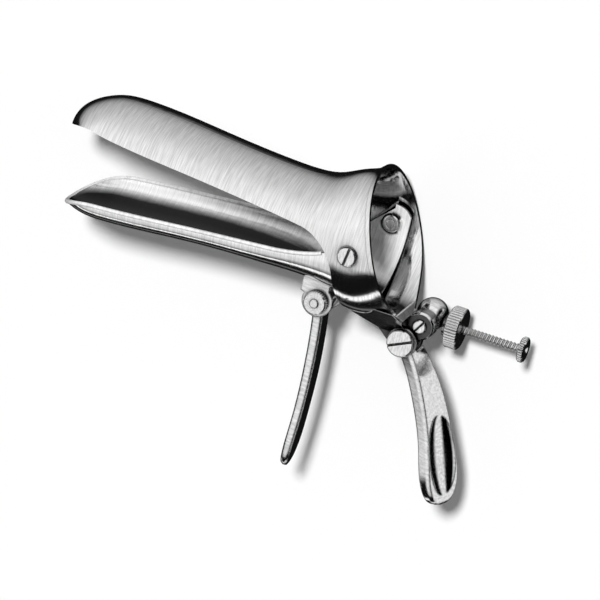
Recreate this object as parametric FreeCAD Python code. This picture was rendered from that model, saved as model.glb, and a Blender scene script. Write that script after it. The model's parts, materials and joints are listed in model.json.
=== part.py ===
# Bivalve speculum with a folding handle, a thumb lever and a side screw that holds the blades open.
# The instrument lies on its far side. X runs along the blades from the tips to the mouth, Y points
# from the lower blade to the upper one, and Z points from the far side to the near side.
# Every piece is modelled about the blades' pivot axis, and the whole is set down at the end.
import FreeCAD, Part
import math
import os
from collections import namedtuple

V = FreeCAD.Vector
Z_AXIS = V(0, 0, 1)

# A cross-section of a pressed sheet: where its middle is, half its width, its height above and depth
# below that middle, the drop of the spout at its lowest point, and its lean back from upright in degrees.
Section = namedtuple("Section", "x y half_width rise depth spout lean")

# Sheet of both blades
WALL = 1.0
SECTION_POINTS = 12
SPOUT_SHARPNESS = 12
DOME_STEPS = 5
DOME_LAST_ANGLE = 86.0

# Upper blade and collar, one pressing
UPPER_DOME_LENGTH = 20.6
UPPER_TIP_START = Section(x=-86.0, y=6.6, half_width=20.2, rise=13.2, depth=13.2, spout=0, lean=-4.4)
UPPER_MIDDLE = Section(x=-60.0, y=4.6, half_width=20.2, rise=13.2, depth=13.2, spout=0, lean=-4.4)
UPPER_ROOT = Section(x=-38.0, y=2.9, half_width=20.2, rise=13.0, depth=14.0, spout=0, lean=-4.0)
WAIST = Section(x=-23.0, y=1.8, half_width=20.8, rise=13.8, depth=17.5, spout=0, lean=0.0)
THROAT = Section(x=-11.5, y=1.2, half_width=22.0, rise=17.0, depth=23.3, spout=0, lean=8.0)
NECK = Section(x=0.0, y=1.0, half_width=23.3, rise=21.6, depth=24.2, spout=1.2, lean=16.5)
MOUTH = Section(x=8.5, y=1.2, half_width=24.2, rise=25.3, depth=23.0, spout=4.0, lean=22.0)
UPPER_EDGE_TIP = (-94.0, 11.3)
UPPER_EDGE_BACK = (-17.5, 4.0)
UPPER_LIP_BEND = (-101.5, 10.0)
UPPER_LIP_END = (-109.0, 5.4)
COLLAR_FRONT_BEND = (-9.0, -0.4)
COLLAR_FRONT_TURN = (-4.6, -9.5)
COLLAR_FRONT_FOOT = (-1.4, -24.0)
MOUTH_BEAD_LENGTH = 1.3
MOUTH_BEAD_RISE = 0.35

# Lower blade
LOWER_DOME_LENGTH = 20.2
LOWER_TIP_START = Section(x=-86.0, y=-12.2, half_width=19.4, rise=8.4, depth=8.4, spout=0, lean=4.9)
LOWER_MIDDLE = Section(x=-60.0, y=-10.0, half_width=19.4, rise=8.4, depth=8.4, spout=0, lean=4.9)
LOWER_ROOT = Section(x=-38.0, y=-8.0, half_width=19.3, rise=12.0, depth=9.4, spout=0, lean=3.0)
LOWER_WAIST = Section(x=-22.0, y=-5.4, half_width=19.4, rise=18.0, depth=11.9, spout=0, lean=1.0)
LOWER_THROAT = Section(x=-8.0, y=-2.0, half_width=20.3, rise=26.0, depth=16.4, spout=0, lean=0.0)
LOWER_BACK = Section(x=7.0, y=0.0, half_width=21.2, rise=30.0, depth=20.2, spout=0, lean=0.0)
LOWER_EDGE_TIP = (-88.0, -12.4)
LOWER_EDGE_BACK = (-25.0, -6.9)
LOWER_LIP_BEND = (-97.9, -15.2)
LOWER_LIP_END = (-106.0, -21.5)
LOWER_REAR_X = 5.8
EAR_RADIUS = 6.9
EAR_FRONT_ANGLE = 128.0

# Pivot of the blades: a slotted screw through the collar and an ear on each side
HEAD_FACE = 24.9
PIVOT_HEAD_RADIUS = 3.1
PIVOT_HEAD_THICKNESS = 1.3
PIVOT_SHANK_RADIUS = 1.5
PIVOT_PAD_RADIUS = 3.5
EAR_GAP = 0.05
PIVOT_NUT_RADIUS = 2.9
PIVOT_NUT_THICKNESS = 1.3
PIVOT_SLOT_ANGLE = 80.0
SLOT_WIDTH = 0.8
SLOT_DEPTH = 0.7
HEAD_BEVEL = 0.35
RUNNING_FIT = 0.04
FACE_GAP = 0.05
ROOM_GAP = 0.3

# Forged bracket under the collar, with the handle's seat and the guide's lug
HANDLE_PIN_FROM_FOOT = (-0.3, -5.7)
BRACKET_TOP_NEAR_WIDTH = 11.5
BRACKET_TOP_FAR_WIDTH = 7.9
BRACKET_TOP_Y = -18.5
BRACKET_NECK_Y = -28.5
BRACKET_PLATE_BACK = -4.0
BRACKET_PLATE_FRONT = -0.6
BRACKET_FRONT_X = 0.2
BRACKET_HEEL = (8.3, -28.0)
BRACKET_EYE_RADIUS = 5.2
LUG_FROM_FOOT = (4.0, 0.8)
LUG_RADIUS = 4.7
LUG_FACE = 1.4
LUG_BEVEL = 0.6
GUIDE_STEM_RADIUS = 2.0

# Handle
HANDLE_EYE_RADIUS = 4.9
HANDLE_EYE_THICKNESS = 3.0
HANDLE_SCREW_RADIUS = 2.2
HANDLE_SCREW_HEAD_RADIUS = 4.5
HANDLE_SCREW_HEAD_THICKNESS = 2.2
HANDLE_SLOT_ANGLE = 25.5
HANDLE_BEND = (32.9, -44.0)
HANDLE_END = (42.0, -80.0)
HANDLE_START_SHARE = 0.04
HANDLE_NECK_WIDTH = 7.2
HANDLE_NECK_DEPTH = 5.2
HANDLE_SPOON_WIDTH = 16.6
HANDLE_SPOON_DEPTH = 4.6
HANDLE_TURN = 22.0
HANDLE_MIDDLE_Z = -1.4
HANDLE_CORNER = 0.8
HANDLE_SWING_GAP = 0.4
DISH_LENGTH = 29.0
DISH_WIDTH = 12.6
DISH_DEPTH = 1.9
DISH_PLACE = 0.77
WASHER_THICKNESS = 0.4
HANDLE_NUT_FLATS = 5.6
HANDLE_NUT_THICKNESS = 1.5

# Thumb lever under the lower blade, on a knurled thumb screw that also carries the draw rod
LEVER_PIN = (-11.6, -24.4)
LEVER_CHEEK_RADIUS = 5.2
LEVER_CHEEK_THICKNESS = 1.6
LEVER_BRACKET_FRONT_X = -17.8
LEVER_BRACKET_BACK_X = -8.4
LEVER_BRACKET_SHOULDER_Y = -22.2
LEVER_BRACKET_TOP_Y = -14.0
LEVER_KNUCKLE_WIDTH = 8.0
LEVER_WIDTH_TOP = 7.9
LEVER_WIDTH_END = 9.2
LEVER_DEPTH_TOP = 3.6
LEVER_DEPTH_END = 2.8
LEVER_KNUCKLE_RADIUS = 4.2
LEVER_BEND = (-8.2, -52.0)
LEVER_END = (-11.6, -84.0)
LEVER_START_SHARE = 0.05
LEVER_CORNER = 0.7
THUMB_HEAD_RADIUS = 3.95
THUMB_HEAD_THICKNESS = 2.5
THUMB_BUTTON_RADIUS = 1.45
THUMB_BUTTON_RISE = 0.5
THUMB_SHANK_RADIUS = 1.7
THUMB_TEETH = 30
ROD_MIDDLE_Z = -11.4
ROD_EYE_RADIUS = 3.3
ROD_EYE_THICKNESS = 3.2
RETAINING_NUT_FLATS = 5.0
RETAINING_NUT_THICKNESS = 1.8

# Draw rod, its guide on the lug, and the nut that holds the blades open
GUIDE_BALL_RADIUS = 5.3
GUIDE_BALL_RISE = 1.0
ROD_DROP = 1.2
GUIDE_FLAT = 4.6
GUIDE_SCREW_HEAD_RADIUS = 2.3
GUIDE_SCREW_HEAD_THICKNESS = 0.9
GUIDE_SLOT_ANGLE = 57.0
GUIDE_BORE_CLEARANCE = 0.5
ROD_RADIUS = 1.45
ROD_LENGTH = 65.2
THRUST_WASHER_RADIUS = 3.6
THRUST_WASHER_THICKNESS = 1.6
DRAW_NUT_RADIUS = 7.0
DRAW_NUT_THICKNESS = 4.6
DRAW_NUT_TEETH = 44
KNOB_RADIUS = 4.3
KNOB_THICKNESS = 2.1
KNOB_TEETH = 32
KNURL_DEPTH = 0.3
KNURL_BEVEL = 0.5
TRAVEL_GAP = 0.15
GUIDE_SHOULDER_RADIUS = 3.0
GUIDE_SCREW_RADIUS = 1.2
GUIDE_SLOT_WIDTH = 0.6
KNOB_DIMPLE_RADIUS = 1.6
KNOB_DIMPLE_DEPTH = 0.8
ROD_SPACER_RADIUS = 2.9
LEVER_FORK_TOP_Y = -19.9

# Rounded ends of the handle and the lever
BAR_STEPS = 6
BAR_ROUND_START = 0.88
BAR_ROUND_SHARE = 0.97
CORNER_SHARE = 0.35

# Smoothness of the surfaces drawn through cross-sections
LOFT_DEGREE = 3

FAR_OUT = 200.0


def solid_of(shape):
    """The shape as one clean solid where it holds one."""
    solids = shape.removeSplitter().Solids
    return solids[0] if len(solids) == 1 else Part.makeCompound(solids)


def grown(section, growth):
    """The same cross-section with its outline moved out by growth."""
    return section._replace(
        half_width=section.half_width + growth, rise=section.rise + growth, depth=section.depth + growth)


def section_wire(section):
    """A smooth closed outline: half an ellipse above, half of another with a spout below."""
    lean = math.radians(section.lean)
    points = []
    for step in range(SECTION_POINTS):
        turn = 2 * math.pi * step / SECTION_POINTS
        upward = math.cos(turn)
        height = section.rise * upward
        if upward < 0:
            height = section.depth * upward - section.spout * upward ** SPOUT_SHARPNESS
        points.append(V(
            section.x - height * math.sin(lean),
            section.y + height * math.cos(lean),
            section.half_width * math.sin(turn)))
    curve = Part.BSplineCurve()
    evenly = [step / SECTION_POINTS for step in range(SECTION_POINTS + 1)]
    curve.interpolate(Points=points, PeriodicFlag=True, Parameters=evenly)
    return Part.Wire([curve.toShape()])


def dome_sections(start, length, growth):
    """Cross-sections that shrink from the start to a rounded tip, from the tip inwards."""
    lean = math.radians(start.lean)
    wide = grown(start, growth)
    sections = []
    for step in range(DOME_STEPS, 0, -1):
        turn = math.radians(DOME_LAST_ANGLE) * step / DOME_STEPS
        share = math.cos(turn)
        reach = (length + growth) * math.sin(turn)
        sections.append(start._replace(
            x=start.x - reach * math.cos(lean),
            y=start.y - reach * math.sin(lean),
            half_width=wide.half_width * share,
            rise=wide.rise * share,
            depth=wide.depth * share))
    return sections


def blade_body(stations, dome_length, growth):
    """The solid inside a blade's outer face moved out by growth, with a domed tip."""
    sections = dome_sections(stations[0], dome_length, growth) + [grown(s, growth) for s in stations]
    return Part.makeLoft([section_wire(s) for s in sections], True, False, False, LOFT_DEGREE)


def side_prism(edges):
    """A block that runs through the whole width with the given outline seen from the side."""
    face = Part.Face(Part.Wire(edges))
    face.translate(V(0, 0, -FAR_OUT / 2))
    return face.extrude(V(0, 0, FAR_OUT))


def line(start, end):
    return Part.LineSegment(V(*start, 0), V(*end, 0)).toShape()


def arc(start, middle, end):
    return Part.Arc(V(*start, 0), V(*middle, 0), V(*end, 0)).toShape()


def polygon(points):
    """Straight edges through the points and back to the first."""
    return [line(a, b) for a, b in zip(points, points[1:] + points[:1])]


def disc(centre, radius, low, high):
    """A cylinder along Z between two heights."""
    return Part.makeCylinder(radius, high - low, V(centre[0], centre[1], low), Z_AXIS)


def beveled_disc(centre, radius, low, high, bevel, top=True):
    """A cylinder along Z with one rim beveled."""
    body = disc(centre, radius, low, high)
    rim = high if top else low
    edges = [e for e in body.Edges if len(e.Vertexes) == 1 and abs(e.CenterOfMass.z - rim) < bevel / 2]
    return body.makeChamfer(bevel, edges)


def slot_cutter(centre, radius, face, angle, width, depth):
    """A bar that cuts a screwdriver slot into a head's face."""
    reach = 2 * radius
    bar = Part.makeBox(2 * reach, width, 2 * depth, V(-reach, -width / 2, -depth))
    bar.rotate(V(0, 0, 0), Z_AXIS, angle)
    bar.translate(V(centre[0], centre[1], face))
    return bar


def slotted_screw(centre, head_radius, head_seat, head_thickness, shank_radius, shank_end, slot_angle, width):
    """A screw along Z. Its head lies past the seat, away from the end of its shank."""
    outward = 1 if head_seat > shank_end else -1
    face = head_seat + outward * head_thickness
    low, high = sorted((head_seat, face))
    head = beveled_disc(centre, head_radius, low, high, HEAD_BEVEL, outward > 0)
    shank = disc(centre, shank_radius, min(head_seat, shank_end), max(head_seat, shank_end))
    slot = slot_cutter(centre, head_radius, face, slot_angle, width, SLOT_DEPTH)
    return solid_of(head.fuse(shank).cut(slot))


def hexagon_nut(centre, flats, bore_radius, low, high):
    """A plain six-sided nut along Z."""
    corner = flats / math.sqrt(3)
    turns = [math.radians(60 * side) for side in range(6)]
    corners = [(centre[0] + corner * math.cos(turn), centre[1] + corner * math.sin(turn)) for turn in turns]
    face = Part.Face(Part.Wire(polygon(corners)))
    face.translate(V(0, 0, low))
    return face.extrude(V(0, 0, high - low)).cut(disc(centre, bore_radius, low, high))


def knurled_disc(radius, thickness, teeth):
    """A disc along Z from the origin, with straight teeth round it and beveled rims."""
    points = []
    for tooth in range(2 * teeth):
        turn = math.pi * tooth / teeth
        reach = radius if tooth % 2 else radius - KNURL_DEPTH
        points.append((reach * math.cos(turn), reach * math.sin(turn)))
    teeth_block = Part.Face(Part.Wire(polygon(points))).extrude(V(0, 0, thickness))
    blank = Part.makeCylinder(radius, thickness)
    blank = blank.makeChamfer(KNURL_BEVEL, [e for e in blank.Edges if len(e.Vertexes) == 1])
    return teeth_block.common(blank)


def along_rod(shape, distance):
    """Turns a piece modelled along Z onto the draw rod, at a distance from the thumb screw's axis."""
    shape = shape.copy()
    shape.translate(V(0, 0, distance))
    shape.rotate(V(0, 0, 0), V(0, 1, 0), 90)
    shape.rotate(V(0, 0, 0), Z_AXIS, ROD_ANGLE)
    shape.translate(V(LEVER_PIN[0], LEVER_PIN[1], ROD_MIDDLE_Z))
    return shape


# Places that follow from the sizes above
MOUTH_LEAN = math.radians(MOUTH.lean)
MOUTH_FOOT = (
    MOUTH.x + (MOUTH.depth + MOUTH.spout) * math.sin(MOUTH_LEAN),
    MOUTH.y - (MOUTH.depth + MOUTH.spout) * math.cos(MOUTH_LEAN))
HANDLE_PIN = (MOUTH_FOOT[0] + HANDLE_PIN_FROM_FOOT[0], MOUTH_FOOT[1] + HANDLE_PIN_FROM_FOOT[1])
LUG_CENTRE = (MOUTH_FOOT[0] + LUG_FROM_FOOT[0], MOUTH_FOOT[1] + LUG_FROM_FOOT[1])
GUIDE_CENTRE = (LUG_CENTRE[0], LUG_CENTRE[1] - ROD_DROP)
ROD_RUN = math.dist(LEVER_PIN, GUIDE_CENTRE)
ROD_ANGLE = math.degrees(math.atan2(GUIDE_CENTRE[1] - LEVER_PIN[1], GUIDE_CENTRE[0] - LEVER_PIN[0]))
EAR_FACE = LOWER_BACK.half_width
NUT_START = ROD_RUN + GUIDE_FLAT + TRAVEL_GAP + THRUST_WASHER_THICKNESS + FACE_GAP
HANDLE_EYE_BACK = BRACKET_PLATE_FRONT + WASHER_THICKNESS + FACE_GAP
HANDLE_EYE_FRONT = HANDLE_EYE_BACK + HANDLE_EYE_THICKNESS
CHEEK_INSIDE = LEVER_KNUCKLE_WIDTH / 2 + FACE_GAP
CHEEK_OUTSIDE = CHEEK_INSIDE + LEVER_CHEEK_THICKNESS
ROD_EYE_NEAR = ROD_MIDDLE_Z + ROD_EYE_THICKNESS / 2
ROD_EYE_FAR = ROD_MIDDLE_Z - ROD_EYE_THICKNESS / 2
RETAINING_NUT_TOP = ROD_EYE_FAR - FACE_GAP
PIVOT_SEAT = HEAD_FACE - PIVOT_HEAD_THICKNESS

UPPER_STATIONS = [UPPER_TIP_START, UPPER_MIDDLE, UPPER_ROOT, WAIST, THROAT, NECK, MOUTH]
LOWER_STATIONS = [LOWER_TIP_START, LOWER_MIDDLE, LOWER_ROOT, LOWER_WAIST, LOWER_THROAT, LOWER_BACK]


def upper_side_outline():
    """The side view of what stays of the upper pressing."""
    foot = COLLAR_FRONT_FOOT
    beyond = [
        foot, (foot[0], -FAR_OUT), (FAR_OUT, -FAR_OUT), (FAR_OUT, FAR_OUT), (-FAR_OUT, FAR_OUT),
        (-FAR_OUT, UPPER_LIP_END[1]), UPPER_LIP_END]
    edges = [
        arc(UPPER_LIP_END, UPPER_LIP_BEND, UPPER_EDGE_TIP),
        line(UPPER_EDGE_TIP, UPPER_EDGE_BACK),
        arc(UPPER_EDGE_BACK, COLLAR_FRONT_BEND, COLLAR_FRONT_TURN),
        line(COLLAR_FRONT_TURN, foot),
    ]
    return side_prism(edges + [line(a, b) for a, b in zip(beyond, beyond[1:])])


def ear_points():
    """Where the ear's round starts in front, its top, and where it meets the rear edge."""
    turn = math.radians(EAR_FRONT_ANGLE)
    front = (EAR_RADIUS * math.cos(turn), EAR_RADIUS * math.sin(turn))
    middle_turn = turn / 2 + math.acos(LOWER_REAR_X / EAR_RADIUS) / 2
    top = (EAR_RADIUS * math.cos(middle_turn), EAR_RADIUS * math.sin(middle_turn))
    rear = (LOWER_REAR_X, math.sqrt(EAR_RADIUS ** 2 - LOWER_REAR_X ** 2))
    return front, top, rear


def lower_side_outline():
    """The side view of what stays of the lower pressing."""
    front, top, rear = ear_points()
    beyond = [
        rear, (LOWER_REAR_X, -FAR_OUT), (-FAR_OUT, -FAR_OUT), (-FAR_OUT, LOWER_LIP_END[1]), LOWER_LIP_END]
    edges = [
        arc(LOWER_LIP_END, LOWER_LIP_BEND, LOWER_EDGE_TIP),
        line(LOWER_EDGE_TIP, LOWER_EDGE_BACK),
        line(LOWER_EDGE_BACK, front),
        arc(front, top, rear),
    ]
    return side_prism(edges + [line(a, b) for a, b in zip(beyond, beyond[1:])])


def mouth_block(length):
    """The last stretch before the mouth, as a slab square to the mouth's plane."""
    slab = Part.makeBox(length, FAR_OUT, FAR_OUT, V(-length, -FAR_OUT / 2, -FAR_OUT / 2))
    slab.rotate(V(0, 0, 0), Z_AXIS, MOUTH.lean)
    slab.translate(V(MOUTH.x, MOUTH.y, 0))
    return slab


def pivot_seats(inner, outer):
    """Flat round seats about the pivot axis on both sides, between two distances from the middle."""
    near = disc((0, 0), PIVOT_PAD_RADIUS, inner, outer)
    return near.fuse(disc((0, 0), PIVOT_PAD_RADIUS, -outer, -inner))


def collar_and_blade_outside():
    """The upper pressing's outer face as a solid, with the bead round the mouth."""
    outside = blade_body(UPPER_STATIONS, UPPER_DOME_LENGTH, 0)
    swollen = blade_body(UPPER_STATIONS, UPPER_DOME_LENGTH, MOUTH_BEAD_RISE)
    return outside.fuse(swollen.common(mouth_block(MOUTH_BEAD_LENGTH)))


def upper_blade():
    """Upper blade and collar: a sheet with a domed tip, a turned bead at the mouth and two pivot seats."""
    inside = blade_body(UPPER_STATIONS, UPPER_DOME_LENGTH, -WALL)
    shape = collar_and_blade_outside().cut(inside)
    shape = shape.fuse(pivot_seats(EAR_FACE + EAR_GAP, PIVOT_SEAT)).cut(pivot_seats(PIVOT_SEAT, FAR_OUT))
    shape = shape.common(upper_side_outline())
    return solid_of(shape.cut(disc((0, 0), PIVOT_SHANK_RADIUS + FACE_GAP, -FAR_OUT, FAR_OUT)))


def lower_blade():
    """Lower blade: a trough with a lipped tip and two ears."""
    outside = blade_body(LOWER_STATIONS, LOWER_DOME_LENGTH, 0)
    inside = blade_body(LOWER_STATIONS, LOWER_DOME_LENGTH, -WALL)
    sheet = outside.cut(inside).common(lower_side_outline())
    sheet = sheet.fuse(pivot_seats(EAR_FACE - WALL, EAR_FACE))
    sheet = sheet.cut(pivot_seats(EAR_FACE, FAR_OUT)).cut(pivot_seats(EAR_FACE - 2 * WALL, EAR_FACE - WALL))
    return solid_of(sheet.cut(disc((0, 0), PIVOT_SHANK_RADIUS + RUNNING_FIT, -FAR_OUT, FAR_OUT)))


def pivot_screw(side):
    """Slotted screw through the collar and one ear of the lower blade."""
    inner_end = EAR_FACE - WALL - EAR_GAP - PIVOT_NUT_THICKNESS
    return slotted_screw((0, 0), PIVOT_HEAD_RADIUS, side * PIVOT_SEAT, PIVOT_HEAD_THICKNESS,
                         PIVOT_SHANK_RADIUS, side * inner_end, side * PIVOT_SLOT_ANGLE, SLOT_WIDTH)


def pivot_nut(side):
    """Round nut on a pivot screw, inside the ear."""
    outer = EAR_FACE - WALL - EAR_GAP
    low, high = sorted((side * outer, side * (outer - PIVOT_NUT_THICKNESS)))
    nut = beveled_disc((0, 0), PIVOT_NUT_RADIUS, low, high, HEAD_BEVEL, side < 0)
    return nut.cut(disc((0, 0), PIVOT_SHANK_RADIUS, low, high))


def bracket_taper():
    """A block that is wide under the collar and narrows to the plate that carries the handle."""
    corners = [
        (BRACKET_TOP_NEAR_WIDTH, 0), (BRACKET_TOP_NEAR_WIDTH, BRACKET_TOP_Y),
        (BRACKET_PLATE_FRONT, BRACKET_NECK_Y), (BRACKET_PLATE_FRONT, -FAR_OUT),
        (BRACKET_PLATE_BACK, -FAR_OUT), (BRACKET_PLATE_BACK, BRACKET_NECK_Y),
        (-BRACKET_TOP_FAR_WIDTH, BRACKET_TOP_Y), (-BRACKET_TOP_FAR_WIDTH, 0)]
    points = [V(-FAR_OUT / 2, y, z) for z, y in corners]
    face = Part.Face(Part.makePolygon(points + points[:1]))
    return face.extrude(V(FAR_OUT, 0, 0))


def handle_bracket():
    """Forging brazed under the collar: a wedge, the handle's seat and a raised lug for the rod's guide."""
    wedge = polygon([
        (BRACKET_FRONT_X, BRACKET_TOP_Y), (BRACKET_FRONT_X, COLLAR_FRONT_FOOT[1]), BRACKET_HEEL,
        (HANDLE_PIN[0] - BRACKET_EYE_RADIUS, HANDLE_PIN[1] - BRACKET_EYE_RADIUS / 2),
        HANDLE_PIN, LUG_CENTRE, (MOUTH.x + MOUTH.depth * math.sin(MOUTH_LEAN), BRACKET_TOP_Y)])
    body = side_prism(wedge).common(bracket_taper())
    body = body.fuse(disc(HANDLE_PIN, BRACKET_EYE_RADIUS, BRACKET_PLATE_BACK, BRACKET_PLATE_FRONT))
    lug = beveled_disc(LUG_CENTRE, LUG_RADIUS, BRACKET_PLATE_BACK, LUG_FACE, LUG_BEVEL)
    body = body.fuse(lug)
    for room in (
            disc(HANDLE_PIN, HANDLE_EYE_RADIUS + ROOM_GAP, BRACKET_PLATE_FRONT, FAR_OUT),
            disc(HANDLE_PIN, HANDLE_NUT_FLATS / math.sqrt(3) + ROOM_GAP, -FAR_OUT, BRACKET_PLATE_BACK),
            disc(LUG_CENTRE, LUG_RADIUS, LUG_FACE, FAR_OUT),
            disc(LUG_CENTRE, GUIDE_BALL_RADIUS + GUIDE_BALL_RISE + ROOM_GAP, -FAR_OUT, BRACKET_PLATE_BACK)):
        body = body.cut(room)
    body = body.cut(collar_and_blade_outside())
    body = body.cut(disc(HANDLE_PIN, HANDLE_SCREW_RADIUS + FACE_GAP, -FAR_OUT, FAR_OUT))
    body = body.cut(disc(LUG_CENTRE, GUIDE_STEM_RADIUS + RUNNING_FIT, -FAR_OUT, FAR_OUT))
    return solid_of(body)


def bezier(start, bend, end, share):
    """A point on the curve from start to end that is drawn towards bend, and its direction."""
    rest = 1 - share
    point = [rest ** 2 * a + 2 * rest * share * b + share ** 2 * c for a, b, c in zip(start, bend, end)]
    way = [rest * (b - a) + share * (c - b) for a, b, c in zip(start, bend, end)]
    size = math.hypot(*way)
    return point, (way[0] / size, way[1] / size)


def bar_wire(centre, way, width, depth, turn, corner):
    """A rectangle with cut corners, square to the bar's way, its broad face turned to the near side."""
    across = V(-way[1], way[0], 0)
    turned = math.radians(turn)
    normal = across * math.cos(turned) + Z_AXIS * math.sin(turned)
    broad = Z_AXIS * math.cos(turned) - across * math.sin(turned)
    cut = min(corner, CORNER_SHARE * depth)
    flat, edge = width / 2 - cut, depth / 2 - cut
    spread = [
        (width / 2, edge), (flat, depth / 2), (-flat, depth / 2), (-width / 2, edge),
        (-width / 2, -edge), (-flat, -depth / 2), (flat, -depth / 2), (width / 2, -edge)]
    points = [centre + broad * a + normal * b for a, b in spread]
    return Part.makePolygon(points + points[:1])


def tapered_bar(start, bend, end, z, first_share, widths, depths, turn, corner):
    """A bar along a curve from start to end, which widens from its first section and ends round."""
    wires = []
    for step in range(BAR_STEPS + 1):
        share = first_share + (1 - first_share) * math.sin(math.pi / 2 * step / BAR_STEPS)
        point, way = bezier(start, bend, end, share)
        past_round = max(0.0, share - BAR_ROUND_START) / (1 - BAR_ROUND_START)
        end_round = math.sqrt(1 - (BAR_ROUND_SHARE * past_round) ** 2)
        width = (widths[0] + (widths[1] - widths[0]) * share) * end_round
        depth = (depths[0] + (depths[1] - depths[0]) * share) * (1 + end_round) / 2
        wires.append(bar_wire(V(point[0], point[1], z), way, width, depth, turn, corner))
    return Part.makeLoft(wires, True, False, False, LOFT_DEGREE)


def handle():
    """Folding handle: an eye on the handle screw, a bent shank and a dished spoon."""
    eye = disc(HANDLE_PIN, HANDLE_EYE_RADIUS, HANDLE_EYE_BACK, HANDLE_EYE_FRONT)
    shank = tapered_bar(HANDLE_PIN, HANDLE_BEND, HANDLE_END, HANDLE_MIDDLE_Z, HANDLE_START_SHARE,
                        (HANDLE_NECK_WIDTH, HANDLE_SPOON_WIDTH), (HANDLE_NECK_DEPTH, HANDLE_SPOON_DEPTH),
                        HANDLE_TURN, HANDLE_CORNER)
    swing_room = disc(HANDLE_PIN, BRACKET_EYE_RADIUS + HANDLE_SWING_GAP, -FAR_OUT, HANDLE_EYE_BACK)
    shank = shank.cut(swing_room)
    body = eye.fuse(shank)
    body = body.cut(disc(HANDLE_PIN, HANDLE_EYE_RADIUS, HANDLE_EYE_FRONT, FAR_OUT))
    body = body.cut(dish())
    return solid_of(body.cut(disc(HANDLE_PIN, HANDLE_SCREW_RADIUS + RUNNING_FIT, -FAR_OUT, FAR_OUT)))


def dish():
    """The oval hollow in the spoon's broad face."""
    point, way = bezier(HANDLE_PIN, HANDLE_BEND, HANDLE_END, DISH_PLACE)
    turned = math.radians(HANDLE_TURN)
    across = V(-way[1], way[0], 0)
    normal = across * math.cos(turned) + Z_AXIS * math.sin(turned)
    broad = Z_AXIS * math.cos(turned) - across * math.sin(turned)
    along = V(way[0], way[1], 0)
    face_depth = HANDLE_NECK_DEPTH + (HANDLE_SPOON_DEPTH - HANDLE_NECK_DEPTH) * DISH_PLACE
    centre = V(point[0], point[1], HANDLE_MIDDLE_Z) + normal * (face_depth / 2)
    sizes = [along * (DISH_LENGTH / 2), broad * (DISH_WIDTH / 2), normal * DISH_DEPTH]
    placed = FreeCAD.Matrix(
        sizes[0].x, sizes[1].x, sizes[2].x, centre.x,
        sizes[0].y, sizes[1].y, sizes[2].y, centre.y,
        sizes[0].z, sizes[1].z, sizes[2].z, centre.z,
        0, 0, 0, 1)
    return Part.makeSphere(1).transformGeometry(placed)


def handle_screw():
    """Big slotted screw that the handle folds on, threaded into the bracket."""
    return slotted_screw(HANDLE_PIN, HANDLE_SCREW_HEAD_RADIUS, HANDLE_EYE_FRONT + FACE_GAP,
                         HANDLE_SCREW_HEAD_THICKNESS, HANDLE_SCREW_RADIUS,
                         BRACKET_PLATE_BACK - HANDLE_NUT_THICKNESS, HANDLE_SLOT_ANGLE, SLOT_WIDTH)


def handle_washer():
    """Friction washer between the bracket and the handle's eye."""
    low = BRACKET_PLATE_FRONT
    ring = disc(HANDLE_PIN, HANDLE_EYE_RADIUS, low, low + WASHER_THICKNESS)
    return ring.cut(disc(HANDLE_PIN, HANDLE_SCREW_RADIUS + RUNNING_FIT, low, low + WASHER_THICKNESS))


def handle_nut():
    """Thin lock nut behind the bracket."""
    return hexagon_nut(HANDLE_PIN, HANDLE_NUT_FLATS, HANDLE_SCREW_RADIUS,
                       BRACKET_PLATE_BACK - HANDLE_NUT_THICKNESS, BRACKET_PLATE_BACK)


def lever_bracket():
    """Fork under the lower blade: two cheeks on one saddle that follows the blade."""
    outline = polygon([
        (LEVER_BRACKET_FRONT_X, LEVER_BRACKET_TOP_Y), (LEVER_BRACKET_FRONT_X, LEVER_BRACKET_SHOULDER_Y),
        LEVER_PIN, (LEVER_BRACKET_BACK_X, LEVER_PIN[1]), (LEVER_BRACKET_BACK_X, LEVER_BRACKET_TOP_Y)])
    body = side_prism(outline).fuse(disc(LEVER_PIN, LEVER_CHEEK_RADIUS, -FAR_OUT / 2, FAR_OUT / 2))
    corner = V(-FAR_OUT / 2, -FAR_OUT / 2, -CHEEK_OUTSIDE)
    body = body.common(Part.makeBox(FAR_OUT, FAR_OUT, 2 * CHEEK_OUTSIDE, corner))
    corner = V(-FAR_OUT / 2, LEVER_FORK_TOP_Y - FAR_OUT, -CHEEK_INSIDE)
    body = body.cut(Part.makeBox(FAR_OUT, FAR_OUT, 2 * CHEEK_INSIDE, corner))
    body = body.cut(blade_body(LOWER_STATIONS, LOWER_DOME_LENGTH, 0))
    return solid_of(body.cut(disc(LEVER_PIN, THUMB_SHANK_RADIUS + RUNNING_FIT, -FAR_OUT, FAR_OUT)))


def thumb_lever():
    """Thumb lever: a knuckle between the fork's cheeks and a slightly bowed flat bar."""
    half = LEVER_KNUCKLE_WIDTH / 2
    knuckle = disc(LEVER_PIN, LEVER_KNUCKLE_RADIUS, -half, half)
    bar = tapered_bar(LEVER_PIN, LEVER_BEND, LEVER_END, 0, LEVER_START_SHARE,
                      (LEVER_WIDTH_TOP, LEVER_WIDTH_END), (LEVER_DEPTH_TOP, LEVER_DEPTH_END), 0, LEVER_CORNER)
    bore = disc(LEVER_PIN, THUMB_SHANK_RADIUS + RUNNING_FIT, -FAR_OUT, FAR_OUT)
    return solid_of(knuckle.fuse(bar).cut(bore))


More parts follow.
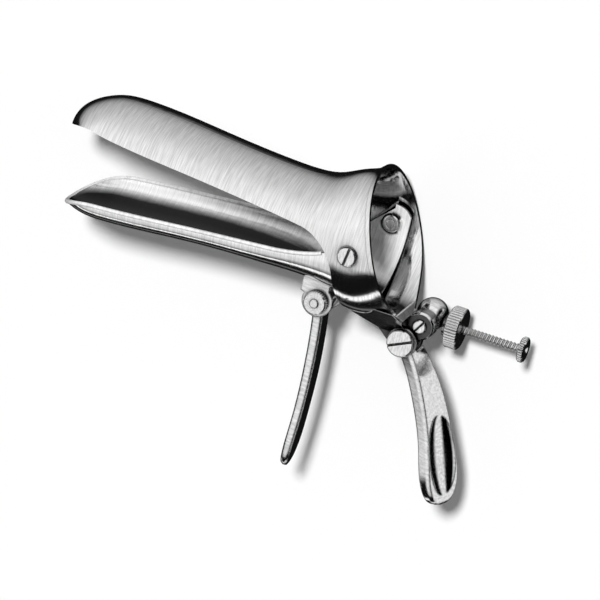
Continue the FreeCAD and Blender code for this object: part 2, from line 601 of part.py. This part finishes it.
def thumb_screw():
    """Knurled thumb screw through the fork, the lever and the rod's eye."""
    seat = CHEEK_OUTSIDE + FACE_GAP
    head = knurled_disc(THUMB_HEAD_RADIUS, THUMB_HEAD_THICKNESS, THUMB_TEETH)
    head.translate(V(*LEVER_PIN, seat))
    face = seat + THUMB_HEAD_THICKNESS
    top = face + THUMB_BUTTON_RISE
    button = beveled_disc(LEVER_PIN, THUMB_BUTTON_RADIUS, face, top, THUMB_BUTTON_RISE / 2)
    shank = disc(LEVER_PIN, THUMB_SHANK_RADIUS, RETAINING_NUT_TOP - RETAINING_NUT_THICKNESS, seat)
    return solid_of(head.fuse(button).fuse(shank))


def rod_spacer():
    """Bush on the thumb screw between the fork and the rod's eye."""
    low, high = ROD_EYE_NEAR + FACE_GAP, -CHEEK_OUTSIDE
    ring = disc(LEVER_PIN, ROD_SPACER_RADIUS, low, high)
    return ring.cut(disc(LEVER_PIN, THUMB_SHANK_RADIUS + RUNNING_FIT, low, high))


def retaining_nut():
    """Nut on the end of the thumb screw, which keeps the rod's eye on."""
    return hexagon_nut(LEVER_PIN, RETAINING_NUT_FLATS, THUMB_SHANK_RADIUS,
                       RETAINING_NUT_TOP - RETAINING_NUT_THICKNESS, RETAINING_NUT_TOP)


def draw_rod():
    """Draw rod with an eye on the thumb screw, and its shank out past the guide."""
    eye = disc(LEVER_PIN, ROD_EYE_RADIUS, ROD_EYE_FAR, ROD_EYE_NEAR)
    shank = along_rod(Part.makeCylinder(ROD_RADIUS, ROD_LENGTH), 0)
    bore = disc(LEVER_PIN, THUMB_SHANK_RADIUS + RUNNING_FIT, ROD_EYE_FAR, ROD_EYE_NEAR)
    return solid_of(eye.fuse(shank).cut(bore))


def guide_ball():
    """Ball that swivels on the lug and guides the rod, with a flat behind and a stem through the lug."""
    ball = Part.makeSphere(GUIDE_BALL_RADIUS, V(LUG_CENTRE[0], LUG_CENTRE[1] + GUIDE_BALL_RISE, ROD_MIDDLE_Z))
    beyond = Part.makeBox(FAR_OUT, FAR_OUT, FAR_OUT, V(-FAR_OUT / 2, -FAR_OUT / 2, 0))
    flat = along_rod(beyond, ROD_RUN + GUIDE_FLAT)
    shoulder = BRACKET_PLATE_BACK - FACE_GAP
    stem = disc(LUG_CENTRE, GUIDE_SHOULDER_RADIUS, ROD_MIDDLE_Z, shoulder)
    stem = stem.fuse(disc(LUG_CENTRE, GUIDE_STEM_RADIUS, shoulder, LUG_FACE + FACE_GAP))
    bore = along_rod(Part.makeCylinder(ROD_RADIUS + GUIDE_BORE_CLEARANCE, FAR_OUT), ROD_RUN - FAR_OUT / 2)
    thread = disc(LUG_CENTRE, GUIDE_SCREW_RADIUS, shoulder, FAR_OUT)
    return solid_of(ball.cut(flat).fuse(stem).cut(bore).cut(thread))


def guide_screw():
    """Small slotted screw that holds the guide's stem in the lug."""
    return slotted_screw(LUG_CENTRE, GUIDE_SCREW_HEAD_RADIUS, LUG_FACE + FACE_GAP, GUIDE_SCREW_HEAD_THICKNESS,
                         GUIDE_SCREW_RADIUS, BRACKET_PLATE_BACK - FACE_GAP, GUIDE_SLOT_ANGLE, GUIDE_SLOT_WIDTH)


def thrust_washer():
    """Hub between the ball's flat and the knurled nut."""
    hub = Part.makeCylinder(THRUST_WASHER_RADIUS, THRUST_WASHER_THICKNESS)
    hub = hub.cut(Part.makeCylinder(ROD_RADIUS + FACE_GAP, THRUST_WASHER_THICKNESS))
    return along_rod(hub, NUT_START - FACE_GAP - THRUST_WASHER_THICKNESS)


def draw_nut():
    """Knurled nut that the user turns to spread the blades."""
    nut = knurled_disc(DRAW_NUT_RADIUS, DRAW_NUT_THICKNESS, DRAW_NUT_TEETH)
    return along_rod(nut.cut(Part.makeCylinder(ROD_RADIUS + RUNNING_FIT, DRAW_NUT_THICKNESS)), NUT_START)


def rod_end_knob():
    """Small knurled knob fixed on the rod's end, which keeps the nut on."""
    knob = knurled_disc(KNOB_RADIUS, KNOB_THICKNESS, KNOB_TEETH)
    low = V(0, 0, KNOB_THICKNESS - KNOB_DIMPLE_DEPTH)
    dimple = Part.makeCone(0, KNOB_DIMPLE_RADIUS, KNOB_DIMPLE_DEPTH, low)
    return along_rod(knob.cut(dimple), ROD_LENGTH)


def pieces():
    """Every piece by its name, about the blades' pivot."""
    return {
        "upper_blade": upper_blade(),
        "lower_blade": lower_blade(),
        "pivot_screw_near": pivot_screw(1),
        "pivot_screw_far": pivot_screw(-1),
        "pivot_nut_near": pivot_nut(1),
        "pivot_nut_far": pivot_nut(-1),
        "handle_bracket": handle_bracket(),
        "handle": handle(),
        "handle_screw": handle_screw(),
        "handle_washer": handle_washer(),
        "handle_nut": handle_nut(),
        "lever_bracket": lever_bracket(),
        "thumb_lever": thumb_lever(),
        "thumb_screw": thumb_screw(),
        "rod_spacer": rod_spacer(),
        "retaining_nut": retaining_nut(),
        "draw_rod": draw_rod(),
        "rod_end_knob": rod_end_knob(),
        "guide_ball": guide_ball(),
        "guide_screw": guide_screw(),
        "thrust_washer": thrust_washer(),
        "draw_nut": draw_nut(),
    }


def main():
    """Sets the instrument down on its far side, with its box's middle over the origin, and writes it."""
    os.makedirs("parts", exist_ok=True)
    shapes = pieces()
    box = Part.makeCompound(list(shapes.values())).optimalBoundingBox(False)
    down = V(-(box.XMin + box.XMax) / 2, -(box.YMin + box.YMax) / 2, -box.ZMin)
    for name, shape in shapes.items():
        shape.translate(down)
        shape.exportStep(f"parts/{name}.step")
        print(name, shape.isValid(), len(shape.Solids), round(shape.Volume, 1))
    print("pivot axis at", down)
    print("box", box)


main()
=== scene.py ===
import json
import math

import bmesh
import bpy
from mathutils import Matrix, Vector


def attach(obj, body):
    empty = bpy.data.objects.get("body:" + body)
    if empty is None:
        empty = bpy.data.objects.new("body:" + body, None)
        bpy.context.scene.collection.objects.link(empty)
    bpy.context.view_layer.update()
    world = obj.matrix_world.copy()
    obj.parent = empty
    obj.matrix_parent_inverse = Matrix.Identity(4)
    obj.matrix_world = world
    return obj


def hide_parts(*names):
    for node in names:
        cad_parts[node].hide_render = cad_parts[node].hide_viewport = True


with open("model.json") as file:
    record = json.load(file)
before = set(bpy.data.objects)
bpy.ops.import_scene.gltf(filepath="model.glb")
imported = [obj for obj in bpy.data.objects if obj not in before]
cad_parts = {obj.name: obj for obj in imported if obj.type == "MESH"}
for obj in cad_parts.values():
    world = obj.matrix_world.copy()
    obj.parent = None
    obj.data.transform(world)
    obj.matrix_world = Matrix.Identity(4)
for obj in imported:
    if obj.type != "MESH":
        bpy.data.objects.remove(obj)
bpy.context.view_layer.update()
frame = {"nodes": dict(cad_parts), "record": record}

MM = 0.001

# The blades' pivot, the rod's pivot on the thumb screw and the rod's way, in millimetres in the row frame.
joints = {joint["name"]: joint for joint in frame["record"]["behaviour"]["joints"]}
PIVOT = Vector(joints["blade_hinge"]["pos_m"]) / MM
ROD_START = Vector(joints["rod_pivot"]["pos_m"]) / MM
ROD_WAY = Vector(joints["nut_travel"]["axis"]).normalized()

# The draw rod: its shank from beside the eye to the knob, its thread, and the flat eye on the thumb screw.
ROD_LENGTH = 65.2
ROD_RADIUS = 1.45
ROD_SIDES = 24
SHANK_INSET = 0.4
THREAD_START = 24.0
THREAD_PITCH = 1.25
THREAD_DEPTH = 0.44
THREAD_STEPS = 6
EYE_RADIUS = 3.3
EYE_HOLE = 1.75
EYE_THICKNESS = 3.2
EYE_BEVEL = 0.35
EYE_SIDES = 48

# The lower blade's edge seen from the side, from the pivot: the ear's front, the straight runs and the lip.
EAR_FRONT = ((0.2, 5.5), (-7.0, -1.6))
EDGE = ((-7.0, -1.6), (-11.4, -3.7), (-16.0, -5.2), (-20.5, -6.2), (-25.0, -6.9), (-88.0, -12.4))
LIP_BEND = (-97.9, -15.2)
LIP_END = (-106.0, -21.5)
LINE_STEPS = 40
LIP_STEPS = 24
ABOVE_EAR = 12
WELD = 0.001
SHARP_DEGREES = 30

# The bead rolled along that edge, and how far it sits below the edge and inside the blade's outer face.
BEAD_START_X = -9.5
BEAD_RADIUS = 0.72
BEAD_ROUNDNESS = 4
BEAD_INSET = 0.45
BELOW_EDGE = 0.12

# How far out the lower blade's walls stand, and a distance farther out than any surface.
WALL_OUT = 19.0
FAR_OUT = 60

# The polish of the lower blade's walls by how they face: straight out at 0, up or down at a half, straight in
# at 1.
WALL_POLISH = [(0.06, 0.1), (0.13, 1), (0.56, 1), (0.8, 0.1)]

# Where the painted dark reflection at the bottoms of the collar and of the trough ends, the height over
# which it fades, and how dark a surface there gets by how much it faces up.
COLLAR_PAINTED_DARK = PIVOT.y - 16
TROUGH_PAINTED_DARK = PIVOT.y
DARK_FADE = 5
FACING_UP = [(0.8, 0), (0.93, 0.985)]

# The bracket's tone with its painted dark reflection, by how squarely it faces the side.
PAINTED_DARK_FACE = [(0.93, 1), (0.985, 0.1)]

# The plate's finish: fine grain, clouds in the gloss, painted shade in corners and the height of the grain.
GRAIN_DETAIL = 4
CLOUD_SCALE = 90
CLOUD_DETAIL = 3
PAINTED_CORNER_TONE = 0.03
GRAIN_HEIGHT = 0.05
SHADE_SAMPLES = 6

# The directions that run right, up and towards the camera in the picture.
RIGHT = Vector((0.9165, 0.2082, -0.3416)).normalized()
UP = Vector((-0.3049, 0.9163, -0.2596)).normalized()
BACK = RIGHT.cross(UP).normalized()

# The picture's size in pixels, the pivot's place in it, its scale and the camera's long lens.
PICTURE = 600
PIVOT_PIXEL = (371.6, 238.5)
PIXELS_PER_MM = 3.11
LENS = 280
SENSOR = 36
CLIP_START = 10
CLIP_END = 20000

# The page that the part lies on, the light that throws its shadow, and the even light from all round.
FLOOR_HALF = 3000
FLOOR_DROP = 0.5
PAGE_TONE = 0.9
PAGE_ROUGH = 0.9
SUN_ENERGY = 3.2
SUN_DEGREES = 9
SUN_WAY = (RIGHT * -0.17 + UP * 0.17 + BACK * 0.97).normalized()
FILL_TONE = 0.22

# Brightness of what the metal mirrors, by its angle from straight up towards the blades' upper side, in
# degrees; how it ends towards the mouth's side; and how strong it all is.
STUDIO_BANDS = [
    (-180, 0.005), (-135, 0.005), (-129, 0.15), (-123, 0.005), (-107, 0.005), (-103, 0.95), (-97, 0.95),
    (-93, 0.005), (-57, 0.005), (-48, 0.6), (-20, 0.72), (30, 0.8), (70, 0.72), (100, 0.56),
    (130, 0.42), (148, 0.3), (158, 0.16), (168, 0.005), (180, 0.005)]
BANDS_END = [(0.5, 1), (0.72, 0)]
STUDIO_STRENGTH = 1.3

# A low window off the mouth's side: its brightness towards that side, and its share by how far it lies below.
WINDOW_SIDE = [(0.7, 0), (0.78, 0.7)]
WINDOW_BELOW = [(0.14, 0), (0.24, 1), (0.5, 1), (0.6, 0)]


def new_material(name):
    """An empty material with one shader on its output."""
    material = bpy.data.materials.new(name)
    material.use_nodes = True
    nodes, links = material.node_tree.nodes, material.node_tree.links
    nodes.clear()
    output = nodes.new("ShaderNodeOutputMaterial")
    shader = nodes.new("ShaderNodeBsdfPrincipled")
    links.new(shader.outputs["BSDF"], output.inputs["Surface"])
    return material, nodes, links, shader


def ramp(nodes, links, source, stops):
    """A grey tone for each value of a source, in straight runs between the stops."""
    node = nodes.new("ShaderNodeValToRGB")
    while len(node.color_ramp.elements) < len(stops):
        node.color_ramp.elements.new(0.5)
    for element, (place, value) in zip(node.color_ramp.elements, stops):
        element.position = place
        element.color = (value, value, value, 1)
    links.new(source, node.inputs["Fac"])
    return node.outputs["Color"]


def mixed(nodes, links, way, first, second):
    """Two tones put together by a blend of the given kind."""
    node = nodes.new("ShaderNodeMix")
    node.data_type = "RGBA"
    node.blend_type = way
    node.inputs["Factor"].default_value = 1
    links.new(first, node.inputs["A"])
    links.new(second, node.inputs["B"])
    return node.outputs["Result"]


def scaled(nodes, links, value, by, plus=0.0):
    """A value times a number, plus a number."""
    node = nodes.new("ShaderNodeMath")
    node.operation = "MULTIPLY_ADD"
    node.inputs[1].default_value = by
    node.inputs[2].default_value = plus
    links.new(value, node.inputs[0])
    return node.outputs["Value"]


def combined(nodes, links, operation, first, second):
    """Two values put together by the given operation."""
    node = nodes.new("ShaderNodeMath")
    node.operation = operation
    links.new(first, node.inputs[0])
    links.new(second, node.inputs[1])
    return node.outputs["Value"]


def split(nodes, links, source):
    """The three parts of a vector."""
    node = nodes.new("ShaderNodeSeparateXYZ")
    links.new(source, node.inputs["Vector"])
    return node.outputs


def noise(nodes, links, where, scale, detail):
    """Soft random values of a given fineness."""
    node = nodes.new("ShaderNodeTexNoise")
    node.inputs["Scale"].default_value = scale
    node.inputs["Detail"].default_value = detail
    links.new(where, node.inputs["Vector"])
    return node.outputs["Fac"]


def plated(name, shade, rough, grain, stretch, bump, metal=1.0, soften=0.0, reach=3.0, painted_shade_stops=(0.5, 0.85)):
    """Polished nickel plate: fine grain along one way, cloudy gloss, faint relief, and painted shade that
    darkens its slots and corners.
    """
    material, nodes, links, shader = new_material(name)
    where = nodes.new("ShaderNodeTexCoord").outputs["Object"]
    place = nodes.new("ShaderNodeMapping")
    place.inputs["Scale"].default_value = stretch
    links.new(where, place.inputs["Vector"])
    lines = noise(nodes, links, place.outputs["Vector"], grain, GRAIN_DETAIL)
    clouds = noise(nodes, links, where, CLOUD_SCALE, CLOUD_DETAIL)
    tone = ramp(nodes, links, lines, [(0.28, shade * 0.76), (0.7, min(1, shade * 1.1))])
    # Painted shade: the tone is darkened where the surface is closed in, in slots, creases and corners.
    corner = nodes.new("ShaderNodeAmbientOcclusion")
    corner.samples = SHADE_SAMPLES
    corner.inputs["Distance"].default_value = reach * MM
    painted_corner_shade = ramp(nodes, links, corner.outputs["AO"], [(painted_shade_stops[0], PAINTED_CORNER_TONE), (painted_shade_stops[1], 1)])
    links.new(mixed(nodes, links, "MULTIPLY", tone, painted_corner_shade), shader.inputs["Base Color"])
    gloss = ramp(nodes, links, clouds, [(0.3, rough * 0.8), (0.7, rough * 1.3)])
    links.new(gloss, shader.inputs["Roughness"])
    shader.inputs["Metallic"].default_value = metal
    relief = nodes.new("ShaderNodeBump")
    relief.inputs["Strength"].default_value = bump
    relief.inputs["Distance"].default_value = GRAIN_HEIGHT * MM
    links.new(lines, relief.inputs["Height"])
    if soften:
        edge = nodes.new("ShaderNodeBevel")
        edge.samples = SHADE_SAMPLES
        edge.inputs["Radius"].default_value = soften * MM
        links.new(edge.outputs["Normal"], relief.inputs["Normal"])
    links.new(relief.outputs["Normal"], shader.inputs["Normal"])
    return material


def opened(look):
    """A finished look's nodes, links and shader, with new places and facings of its surface to work from."""
    nodes, links = look.node_tree.nodes, look.node_tree.links
    shader = next(node for node in nodes if node.bl_idname == "ShaderNodeBsdfPrincipled")
    return nodes, links, shader, nodes.new("ShaderNodeTexCoord").outputs


def dim(nodes, links, shader, tone):
    """Multiplies a shader's own tone by another."""
    own = shader.inputs["Base Color"].links[0].from_socket
    links.new(mixed(nodes, links, "MULTIPLY", own, tone), shader.inputs["Base Color"])


def satin_walls(look):
    """Leaves the lower blade's walls satin towards the edge, inside and out, and its bottom polished."""
    nodes, links, shader, surface = opened(look)
    place = split(nodes, links, surface["Object"])
    facing = split(nodes, links, surface["Normal"])
    aside = scaled(nodes, links, place["Z"], -1 / (WALL_OUT * MM), PIVOT.z / WALL_OUT)
    inward = combined(nodes, links, "MULTIPLY", aside, facing["Z"])
    polish = ramp(nodes, links, scaled(nodes, links, inward, 0.5, 0.5), WALL_POLISH)
    links.new(polish, shader.inputs["Metallic"])
    return look


def paint_dark_reflection_below(look, height):
    """Paints a dark reflection into the tone of what faces up below a height, where the deep bowl would
    mirror only its own dark side.
    """
    nodes, links, shader, surface = opened(look)
    place = split(nodes, links, surface["Object"])
    facing = split(nodes, links, surface["Normal"])
    low = ramp(nodes, links, scaled(nodes, links, place["Y"], 1 / (FAR_OUT * MM)), [
        (height / FAR_OUT, 1), ((height + DARK_FADE) / FAR_OUT, 0)])
    upward = ramp(nodes, links, facing["Y"], FACING_UP)
    bright = nodes.new("ShaderNodeInvert")
    links.new(mixed(nodes, links, "MULTIPLY", low, upward), bright.inputs["Color"])
    dim(nodes, links, shader, bright.outputs["Color"])
    return look


def paint_dark_reflection_face(look):
    """Paints a dark reflection on the forging's flat side faces that face up, and leaves its edges bright."""
    nodes, links, shader, surface = opened(look)
    facing = split(nodes, links, surface["Normal"])
    dim(nodes, links, shader, ramp(nodes, links, facing["Z"], PAINTED_DARK_FACE))
    return look


looks = {
    # The sheet and the trough carry a painted dark reflection on what faces up low down.
    "sheet": paint_dark_reflection_below(plated(
        "nickel_sheet", shade=0.86, rough=0.1, grain=2200, stretch=(1, 0.06, 0.06), bump=0.25,
        painted_shade_stops=(0.62, 0.92)), COLLAR_PAINTED_DARK),
    "rim": plated(
        "nickel_rim", shade=0.95, rough=0.3, grain=900, stretch=(1, 0.08, 0.08), bump=0.1, metal=0.35),
    "trough": paint_dark_reflection_below(satin_walls(plated(
        "nickel_trough", shade=0.88, rough=0.1, grain=2200, stretch=(1, 0.06, 0.06), bump=0.2)), TROUGH_PAINTED_DARK),
    "forging": plated(
        "nickel_forging", shade=0.82, rough=0.1, grain=1200, stretch=(0.2, 1, 1), bump=0.3, soften=1.0),
    # The bracket carries a painted dark reflection on its flat face that faces up.
    "bracket": paint_dark_reflection_face(plated(
        "nickel_bracket", shade=0.82, rough=0.12, grain=1200, stretch=(0.2, 1, 1), bump=0.3, soften=0.4)),
    "screws": plated(
        "nickel_screws", shade=0.84, rough=0.12, grain=1600, stretch=(1, 0.3, 1), bump=0.3, soften=0.4,
        painted_shade_stops=(0.68, 0.92)),
    "knurled": plated(
        "nickel_knurled", shade=0.8, rough=0.16, grain=2200, stretch=(1, 1, 1), bump=0.35, reach=1.0,
        painted_shade_stops=(0.68, 0.95)),
    "rod": plated(
        "nickel_rod", shade=0.8, rough=0.16, grain=2000, stretch=(1, 1, 1), bump=0.3, reach=0.9,
        painted_shade_stops=(0.72, 0.97)),
}

# Most nodes wear their record's slot; these two have a look of their own.
OWN_LOOKS = {"lower_blade": "trough", "handle_bracket": "bracket"}
slots = {part["node"]: part["material_slot"] for part in frame["record"]["subparts"]}

for node, item in frame["nodes"].items():
    item.data.materials.clear()
    item.data.materials.append(looks[OWN_LOOKS.get(node, slots[node])])


def add_mesh(name, points, faces, look, body, smooth=True):
    """A piece from points in millimetres, riding a body."""
    mesh = bpy.data.meshes.new(name)
    mesh.from_pydata([tuple(point * MM) for point in points], [], faces)
    mesh.materials.append(look)
    item = bpy.data.objects.new(name, mesh)
    bpy.context.scene.collection.objects.link(item)
    if smooth:
        mesh.shade_smooth()
    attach(item, body)
    return item


def rod_place(distance, angle, radius):
    """A place round the rod, at a distance along it."""
    side = Vector((0, 0, 1))
    up = side.cross(ROD_WAY)
    return ROD_START + ROD_WAY * distance + (side * math.cos(angle) + up * math.sin(angle)) * radius


def threaded_shank():
    """The rod's shank, plain from the eye up to the thread's start and threaded out to the knob."""
    threaded = ROD_LENGTH - THREAD_START
    count = int(threaded / THREAD_PITCH * THREAD_STEPS)
    rings = [EYE_HOLE + SHANK_INSET, THREAD_START]
    rings += [THREAD_START + (k + 1) * threaded / count for k in range(count)]
    points, faces = [], []
    for distance in rings:
        for k in range(ROD_SIDES):
            phase = (distance / THREAD_PITCH - k / ROD_SIDES) % 1
            cut = THREAD_DEPTH * (1 - abs(2 * phase - 1)) if distance > THREAD_START else 0
            points.append(rod_place(distance, 2 * math.pi * k / ROD_SIDES, ROD_RADIUS - cut))
    for ring in range(len(rings) - 1):
        for k in range(ROD_SIDES):
            a, b = ring * ROD_SIDES + k, ring * ROD_SIDES + (k + 1) % ROD_SIDES
            faces.append((a, b, b + ROD_SIDES, a + ROD_SIDES))
    faces.append(tuple(reversed(range(ROD_SIDES))))
    faces.append(tuple(range(len(points) - ROD_SIDES, len(points))))
    return add_mesh("threaded_shank", points, faces, looks["rod"], "draw_rod")


def rod_eye():
    """The flat eye on the thumb screw, with rounded rims."""
    half = EYE_THICKNESS / 2
    profile = [
        (EYE_HOLE, -half), (EYE_RADIUS - EYE_BEVEL, -half), (EYE_RADIUS, -half + EYE_BEVEL),
        (EYE_RADIUS, half - EYE_BEVEL), (EYE_RADIUS - EYE_BEVEL, half), (EYE_HOLE, half)]
    size = len(profile)
    points, faces = [], []
    for k in range(EYE_SIDES):
        angle = 2 * math.pi * k / EYE_SIDES
        for radius, height in profile:
            points.append(ROD_START + Vector((radius * math.cos(angle), radius * math.sin(angle), height)))
        after = (k + 1) % EYE_SIDES
        for j in range(size):
            beside = (j + 1) % size
            faces.append((k * size + j, after * size + j, after * size + beside, k * size + beside))
    return add_mesh("rod_eye", points, faces, looks["rod"], "draw_rod", smooth=False)


for piece in (threaded_shank(), rod_eye()):
    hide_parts("draw_rod")


def waste_block():
    """What is cut off the lower blade: a block across it, from its low edge up past the ears."""
    outline = [(EDGE[-2][0], ABOVE_EAR), *EDGE[-2:0:-1], *EAR_FRONT[::-1], (EAR_FRONT[0][0], ABOVE_EAR)]
    count = len(outline)
    points = [(PIVOT + Vector((x, y, side * FAR_OUT))) * MM for side in (1, -1) for x, y in outline]
    faces = [tuple(range(count)), tuple(reversed(range(count, 2 * count)))]
    for k in range(count):
        after = (k + 1) % count
        faces.append((k, k + count, after + count, after))
    mesh = bpy.data.meshes.new("waste")
    mesh.from_pydata(points, [], faces)
    return bpy.data.objects.new("waste", mesh)


def trimmed_blade():
    """The lower blade with its edge kept low as far as the collar, where it turns up into the ear."""
    waste = waste_block()
    blade = bpy.data.objects.new("trimmed_blade", frame["nodes"]["lower_blade"].data.copy())
    for item in (waste, blade):
        bpy.context.scene.collection.objects.link(item)
    joined = bmesh.new()
    joined.from_mesh(blade.data)
    bmesh.ops.remove_doubles(joined, verts=joined.verts, dist=WELD * MM)
    joined.to_mesh(blade.data)
    joined.free()
    trim = blade.modifiers.new("trim", "BOOLEAN")
    trim.operation = "DIFFERENCE"
    trim.solver = "EXACT"
    trim.object = waste
    shaped = blade.evaluated_get(bpy.context.evaluated_depsgraph_get())
    mesh = bpy.data.meshes.new_from_object(shaped)
    blade.modifiers.clear()
    blade.data = mesh
    mesh.materials.clear()
    mesh.materials.append(looks["trough"])
    mesh.shade_smooth()
    mesh.set_sharp_from_angle(angle=math.radians(SHARP_DEGREES))
    waste_mesh = waste.data
    bpy.data.objects.remove(waste)
    bpy.data.meshes.remove(waste_mesh)
    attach(blade, "lower_blade")
    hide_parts("lower_blade")
    return blade


def edge_height(x):
    """The edge's height at a place along the blade."""
    for high, low in zip(EDGE, EDGE[1:]):
        if x >= low[0]:
            break
    return low[1] + (x - low[0]) * (high[1] - low[1]) / (high[0] - low[0])


def edge_path():
    """Places along the edge from the ear to the tip: the straight runs, then the lip's one smooth bend."""
    start = EDGE[-1]
    path = []
    for k in range(LINE_STEPS + 1):
        x = BEAD_START_X + (start[0] - BEAD_START_X) * k / LINE_STEPS
        path.append((x, edge_height(x)))
    control = [2 * bend - (first + last) / 2 for first, bend, last in zip(start, LIP_BEND, LIP_END)]
    for k in range(1, LIP_STEPS + 1):
        share = k / LIP_STEPS
        rest = 1 - share
        path.append(tuple(
            rest * rest * first + 2 * rest * share * middle + share * share * last
            for first, middle, last in zip(start, control, LIP_END)))
    return path


def skin_at(blade, x, y, side):
    """The lower blade's outer face at a place seen from the side, or None past its edge."""
    start = (PIVOT + Vector((x, y, side * FAR_OUT))) * MM
    hit, place, _, _ = blade.ray_cast(start, Vector((0, 0, -side)))
    return place / MM if hit and (place / MM - PIVOT).z * side > 0 else None


def bead_half(blade, side):
    """The bead's middle line on one side of the blade, from the ear to the tip."""
    line = []
    for x, y in edge_path():
        found = skin_at(blade, x, y - BELOW_EDGE, side)
        if found is None:
            break
        line.append(found - Vector((0, 0, side * BEAD_INSET)))
    return line


def rolled_rim(blade):
    """The rolled bead along the lower blade's edge, from one ear round the tip to the other."""
    line = bead_half(blade, 1) + bead_half(blade, -1)[::-1]
    curve = bpy.data.curves.new("rolled_rim", "CURVE")
    curve.dimensions = "3D"
    curve.bevel_depth = BEAD_RADIUS * MM
    curve.bevel_resolution = BEAD_ROUNDNESS
    curve.use_fill_caps = True
    spline = curve.splines.new("POLY")
    spline.points.add(len(line) - 1)
    for point, place in zip(spline.points, line):
        point.co = (*(place * MM), 1)
    curve.materials.append(looks["rim"])
    item = bpy.data.objects.new("rolled_rim", curve)
    bpy.context.scene.collection.objects.link(item)
    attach(item, "lower_blade")
    return item


rim = rolled_rim(trimmed_blade())


def page_floor():
    """A plain white page under the part, which the metal doesn't mirror."""
    material, _, _, shader = new_material("paper")
    shader.inputs["Base Color"].default_value = (PAGE_TONE, PAGE_TONE, PAGE_TONE, 1)
    shader.inputs["Roughness"].default_value = PAGE_ROUGH
    half = FLOOR_HALF * MM
    corners = [(-half, -half, 0), (half, -half, 0), (half, half, 0), (-half, half, 0)]
    mesh = bpy.data.meshes.new("floor")
    mesh.from_pydata(corners, [], [(0, 1, 2, 3)])
    mesh.materials.append(material)
    item = bpy.data.objects.new("floor", mesh)
    item.location.z = -FLOOR_DROP * MM
    bpy.context.scene.collection.objects.link(item)
    item.visible_glossy = False
    return item


floor = page_floor()


def sunlight():
    """Soft light from behind the camera, a little from the left and above, for the shadows on the page."""
    light = bpy.data.lights.new("window", "SUN")
    light.energy = SUN_ENERGY
    light.angle = math.radians(SUN_DEGREES)
    item = bpy.data.objects.new("window", light)
    item.visible_glossy = False
    item.rotation_mode = "QUATERNION"
    item.rotation_quaternion = (-SUN_WAY).to_track_quat("-Z", "Y")
    bpy.context.scene.collection.objects.link(item)


def glow(nodes, tone, strength=1.0):
    """An even background of one grey tone."""
    node = nodes.new("ShaderNodeBackground")
    node.inputs["Color"].default_value = (tone, tone, tone, 1)
    node.inputs["Strength"].default_value = strength
    return node


def for_rays(nodes, links, kind, others, these):
    """One background for a kind of ray and another for all others."""
    node = nodes.new("ShaderNodeMixShader")
    links.new(kind, node.inputs["Fac"])
    links.new(others, node.inputs[1])
    links.new(these, node.inputs[2])
    return node.outputs["Shader"]


def studio():
    """Surroundings for the metal to mirror: light round the upper side, a bright strip below, a low window
    off the mouth's side and dark elsewhere. Other rays meet an even fill, the camera a white page."""
    world = bpy.data.worlds.new("studio")
    bpy.context.scene.world = world
    world.use_nodes = True
    nodes, links = world.node_tree.nodes, world.node_tree.links
    nodes.clear()
    way = split(nodes, links, nodes.new("ShaderNodeTexCoord").outputs["Generated"])
    around = combined(nodes, links, "ARCTAN2", way["Y"], way["Z"])
    bands = ramp(nodes, links, scaled(nodes, links, around, 0.5 / math.pi, 0.5), [
        (degrees / 360 + 0.5, value) for degrees, value in STUDIO_BANDS])
    shade = mixed(nodes, links, "MULTIPLY", bands, ramp(nodes, links, way["X"], BANDS_END))
    below = ramp(nodes, links, scaled(nodes, links, way["Z"], -1), WINDOW_BELOW)
    pane = mixed(nodes, links, "MULTIPLY", ramp(nodes, links, way["X"], WINDOW_SIDE), below)
    mirrored = glow(nodes, 1, STUDIO_STRENGTH)
    links.new(mixed(nodes, links, "LIGHTEN", shade, pane), mirrored.inputs["Color"])
    ray = nodes.new("ShaderNodeLightPath").outputs
    fill = glow(nodes, FILL_TONE).outputs["Background"]
    page = glow(nodes, 1).outputs["Background"]
    light = for_rays(nodes, links, ray["Is Glossy Ray"], fill, mirrored.outputs["Background"])
    whole = for_rays(nodes, links, ray["Is Camera Ray"], light, page)
    output = nodes.new("ShaderNodeOutputWorld")
    links.new(whole, output.inputs["Surface"])


def photo_camera():
    """A camera with a long lens at the picture's angle, with the pivot at its place in the picture."""
    data = bpy.data.cameras.new("camera")
    data.lens = LENS
    data.sensor_width = SENSOR
    data.clip_start, data.clip_end = CLIP_START * MM, CLIP_END * MM
    item = bpy.data.objects.new("camera", data)
    across = (PICTURE / 2 - PIVOT_PIXEL[0]) / PIXELS_PER_MM
    upward = (PIVOT_PIXEL[1] - PICTURE / 2) / PIXELS_PER_MM
    distance = PICTURE / PIXELS_PER_MM * LENS / SENSOR
    item.location = (PIVOT + RIGHT * across + UP * upward + BACK * distance) * MM
    item.rotation_mode = "QUATERNION"
    item.rotation_quaternion = Matrix((RIGHT, UP, BACK)).transposed().to_quaternion()
    bpy.context.scene.collection.objects.link(item)
    return item


sunlight()
studio()
bpy.context.scene.camera = photo_camera()
bpy.context.scene.view_settings.view_transform = "Standard"
